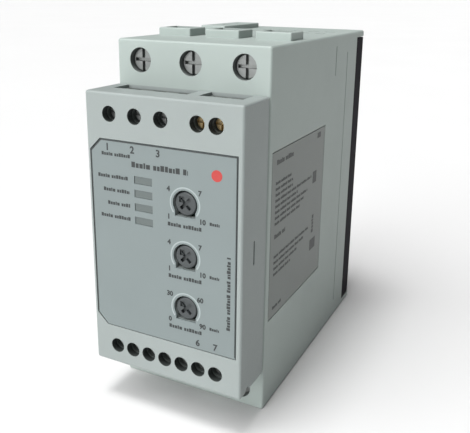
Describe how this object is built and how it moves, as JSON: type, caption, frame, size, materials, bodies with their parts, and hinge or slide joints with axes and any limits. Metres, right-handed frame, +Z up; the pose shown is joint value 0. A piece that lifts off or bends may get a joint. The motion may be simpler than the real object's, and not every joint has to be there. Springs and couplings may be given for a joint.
{
  "type": "solid state relay",
  "caption": "Rail-mounted solid state relay for motors: light grey housing with screw terminals above and below, trim dials, indicator windows and a black finned heat sink behind.",
  "frame": {"origin": "on the ground plane under the middle of the whole object's box", "axes": "+Z up along the rail-mounted height, +Y towards the rail behind the heat sink, +X to the right seen from the front"},
  "size_m": [0.045, 0.0984, 0.1022],
  "materials": {
    "housing_grey": "fine satin moulding texture",
    "cover_grey": "fine satin moulding texture",
    "label_silver": "satin printed foil",
    "side_label_grey": "satin printed foil",
    "sink_black": "black anodised extrusion",
    "dial_grey": "satin",
    "window_grey": "smooth translucent",
    "screw_steel": "zinc plated",
    "screw_brass": "dull brass",
    "clamp_zinc": "zinc plated",
    "copper": "copper, slightly dull",
    "terminal_grey": "satin",
    "board_green": "solder mask",
    "trimmer_blue": "smooth",
    "moulded_black": "satin",
    "relay_white": "satin",
    "spring_steel": "bright wire",
    "sleeve_blue": "shrink sleeve"
  },
  "bodies": {
    "controller": {"main_housing": "housing_grey", "front_cover": "cover_grey", "face_label": "label_silver", "side_label": "side_label_grey", "light_guide": "window_grey", "control_board": "board_green", "power_board": "board_green", "board_connector": "moulded_black", "control_transformer": "moulded_black", "supply_capacitor": "sleeve_blue", "thyristor_module_1": "moulded_black", "thyristor_module_3": "moulded_black", "module_screw_1_lower": "screw_steel", "module_screw_1_upper": "screw_steel", "module_screw_3_lower": "screw_steel", "module_screw_3_upper": "screw_steel", "bypass_relay_1": "relay_white", "bypass_relay_3": "relay_white", "line_bar_1": "copper", "line_bar_3": "copper", "load_bar_1": "copper", "load_bar_3": "copper", "through_bar_2": "copper", "ramp_up_trimmer": "trimmer_blue", "ramp_down_trimmer": "trimmer_blue", "start_torque_trimmer": "trimmer_blue", "supply_terminals": "terminal_grey", "start_terminals": "terminal_grey", "signal_terminals": "terminal_grey", "heat_sink": "sink_black", "rail_bracket": "moulded_black", "latch_spring": "spring_steel"},
    "ramp_up_dial": {"ramp_up_dial": "dial_grey"},
    "ramp_down_dial": {"ramp_down_dial": "dial_grey"},
    "start_torque_dial": {"start_torque_dial": "dial_grey"},
    "line_screw_1": {"line_screw_1": "screw_steel"},
    "line_clamp_1": {"line_clamp_1": "clamp_zinc"},
    "line_screw_2": {"line_screw_2": "screw_steel"},
    "line_clamp_2": {"line_clamp_2": "clamp_zinc"},
    "line_screw_3": {"line_screw_3": "screw_steel"},
    "line_clamp_3": {"line_clamp_3": "clamp_zinc"},
    "load_screw_1": {"load_screw_1": "screw_steel"},
    "load_clamp_1": {"load_clamp_1": "clamp_zinc"},
    "load_screw_2": {"load_screw_2": "screw_steel"},
    "load_clamp_2": {"load_clamp_2": "clamp_zinc"},
    "load_screw_3": {"load_screw_3": "screw_steel"},
    "load_clamp_3": {"load_clamp_3": "clamp_zinc"},
    "supply_terminals_screw_1": {"supply_terminals_screw_1": "screw_steel"},
    "supply_terminals_screw_2": {"supply_terminals_screw_2": "screw_steel"},
    "supply_terminals_screw_3": {"supply_terminals_screw_3": "screw_steel"},
    "start_terminals_screw_1": {"start_terminals_screw_1": "screw_brass"},
    "start_terminals_screw_2": {"start_terminals_screw_2": "screw_brass"},
    "signal_terminals_screw_1": {"signal_terminals_screw_1": "screw_steel"},
    "signal_terminals_screw_2": {"signal_terminals_screw_2": "screw_steel"},
    "signal_terminals_screw_3": {"signal_terminals_screw_3": "screw_steel"},
    "signal_terminals_screw_4": {"signal_terminals_screw_4": "screw_steel"},
    "signal_terminals_screw_5": {"signal_terminals_screw_5": "screw_steel"},
    "signal_terminals_screw_6": {"signal_terminals_screw_6": "screw_steel"},
    "signal_terminals_screw_7": {"signal_terminals_screw_7": "screw_steel"},
    "rail_latch": {"rail_latch": "moulded_black"}
  },
  "joints": [
    {"name": "ramp_up_turn", "type": "hinge", "parent": "controller", "child": "ramp_up_dial", "pos_m": [0.0067, -0.04895, 0.0622], "axis": [0, 1, 0], "range_deg": [-75, 165]},
    {"name": "ramp_down_turn", "type": "hinge", "parent": "controller", "child": "ramp_down_dial", "pos_m": [0.0067, -0.04895, 0.0482], "axis": [0, 1, 0], "range_deg": [-75, 165]},
    {"name": "start_torque_turn", "type": "hinge", "parent": "controller", "child": "start_torque_dial", "pos_m": [0.0067, -0.04895, 0.034], "axis": [0, 1, 0], "range_deg": [-75, 165]},
    {"name": "line_screw_1_turn", "type": "hinge", "parent": "controller", "child": "line_screw_1", "pos_m": [-0.0153, -0.03315, 0.0946], "axis": [0, 1, 0], "range_deg": [0, 2675]},
    {"name": "line_clamp_1_rise", "type": "slide", "parent": "controller", "child": "line_clamp_1", "axis": [0, -1, 0], "range_m": [0, 0.0052]},
    {"name": "line_screw_2_turn", "type": "hinge", "parent": "controller", "child": "line_screw_2", "pos_m": [0, -0.03315, 0.0946], "axis": [0, 1, 0], "range_deg": [0, 2675]},
    {"name": "line_clamp_2_rise", "type": "slide", "parent": "controller", "child": "line_clamp_2", "axis": [0, -1, 0], "range_m": [0, 0.0052]},
    {"name": "line_screw_3_turn", "type": "hinge", "parent": "controller", "child": "line_screw_3", "pos_m": [0.0153, -0.03315, 0.0946], "axis": [0, 1, 0], "range_deg": [0, 2675]},
    {"name": "line_clamp_3_rise", "type": "slide", "parent": "controller", "child": "line_clamp_3", "axis": [0, -1, 0], "range_m": [0, 0.0052]},
    {"name": "load_screw_1_turn", "type": "hinge", "parent": "controller", "child": "load_screw_1", "pos_m": [-0.0153, -0.03315, 0.0054], "axis": [0, 1, 0], "range_deg": [0, 2675]},
    {"name": "load_clamp_1_rise", "type": "slide", "parent": "controller", "child": "load_clamp_1", "axis": [0, -1, 0], "range_m": [0, 0.0052]},
    {"name": "load_screw_2_turn", "type": "hinge", "parent": "controller", "child": "load_screw_2", "pos_m": [0, -0.03315, 0.0054], "axis": [0, 1, 0], "range_deg": [0, 2675]},
    {"name": "load_clamp_2_rise", "type": "slide", "parent": "controller", "child": "load_clamp_2", "axis": [0, -1, 0], "range_m": [0, 0.0052]},
    {"name": "load_screw_3_turn", "type": "hinge", "parent": "controller", "child": "load_screw_3", "pos_m": [0.0153, -0.03315, 0.0054], "axis": [0, 1, 0], "range_deg": [0, 2675]},
    {"name": "load_clamp_3_rise", "type": "slide", "parent": "controller", "child": "load_clamp_3", "axis": [0, -1, 0], "range_m": [0, 0.0052]},
    {"name": "supply_terminals_screw_1_turn", "type": "hinge", "parent": "controller", "child": "supply_terminals_screw_1", "pos_m": [-0.01524, -0.04605, 0.0825], "axis": [0, 1, 0], "range_deg": [0, 1800]},
    {"name": "supply_terminals_screw_2_turn", "type": "hinge", "parent": "controller", "child": "supply_terminals_screw_2", "pos_m": [-0.00762, -0.04605, 0.0825], "axis": [0, 1, 0], "range_deg": [0, 1800]},
    {"name": "supply_terminals_screw_3_turn", "type": "hinge", "parent": "controller", "child": "supply_terminals_screw_3", "pos_m": [0, -0.04605, 0.0825], "axis": [0, 1, 0], "range_deg": [0, 1800]},
    {"name": "start_terminals_screw_1_turn", "type": "hinge", "parent": "controller", "child": "start_terminals_screw_1", "pos_m": [0.01016, -0.04605, 0.0825], "axis": [0, 1, 0], "range_deg": [0, 1800]},
    {"name": "start_terminals_screw_2_turn", "type": "hinge", "parent": "controller", "child": "start_terminals_screw_2", "pos_m": [0.01524, -0.04605, 0.0825], "axis": [0, 1, 0], "range_deg": [0, 1800]},
    {"name": "signal_terminals_screw_1_turn", "type": "hinge", "parent": "controller", "child": "signal_terminals_screw_1", "pos_m": [-0.01524, -0.04605, 0.0175], "axis": [0, 1, 0], "range_deg": [0, 1800]},
    {"name": "signal_terminals_screw_2_turn", "type": "hinge", "parent": "controller", "child": "signal_terminals_screw_2", "pos_m": [-0.01016, -0.04605, 0.0175], "axis": [0, 1, 0], "range_deg": [0, 1800]},
    {"name": "signal_terminals_screw_3_turn", "type": "hinge", "parent": "controller", "child": "signal_terminals_screw_3", "pos_m": [-0.00508, -0.04605, 0.0175], "axis": [0, 1, 0], "range_deg": [0, 1800]},
    {"name": "signal_terminals_screw_4_turn", "type": "hinge", "parent": "controller", "child": "signal_terminals_screw_4", "pos_m": [0, -0.04605, 0.0175], "axis": [0, 1, 0], "range_deg": [0, 1800]},
    {"name": "signal_terminals_screw_5_turn", "type": "hinge", "parent": "controller", "child": "signal_terminals_screw_5", "pos_m": [0.00508, -0.04605, 0.0175], "axis": [0, 1, 0], "range_deg": [0, 1800]},
    {"name": "signal_terminals_screw_6_turn", "type": "hinge", "parent": "controller", "child": "signal_terminals_screw_6", "pos_m": [0.01016, -0.04605, 0.0175], "axis": [0, 1, 0], "range_deg": [0, 1800]},
    {"name": "signal_terminals_screw_7_turn", "type": "hinge", "parent": "controller", "child": "signal_terminals_screw_7", "pos_m": [0.01524, -0.04605, 0.0175], "axis": [0, 1, 0], "range_deg": [0, 1800]},
    {"name": "rail_latch_slide", "type": "slide", "parent": "controller", "child": "rail_latch", "axis": [0, 0, -1], "range_m": [0, 0.004], "stiffness_N_per_m": 1200, "springref_m": -0.003, "deforming": ["latch_spring"]}
  ],
  "couplings": [
    {"joint": "line_screw_1_turn", "follows": "line_clamp_1_rise", "rad_per_m": 8976},
    {"joint": "line_screw_2_turn", "follows": "line_clamp_2_rise", "rad_per_m": 8976},
    {"joint": "line_screw_3_turn", "follows": "line_clamp_3_rise", "rad_per_m": 8976},
    {"joint": "load_screw_1_turn", "follows": "load_clamp_1_rise", "rad_per_m": 8976},
    {"joint": "load_screw_2_turn", "follows": "load_clamp_2_rise", "rad_per_m": 8976},
    {"joint": "load_screw_3_turn", "follows": "load_clamp_3_rise", "rad_per_m": 8976}
  ]
}
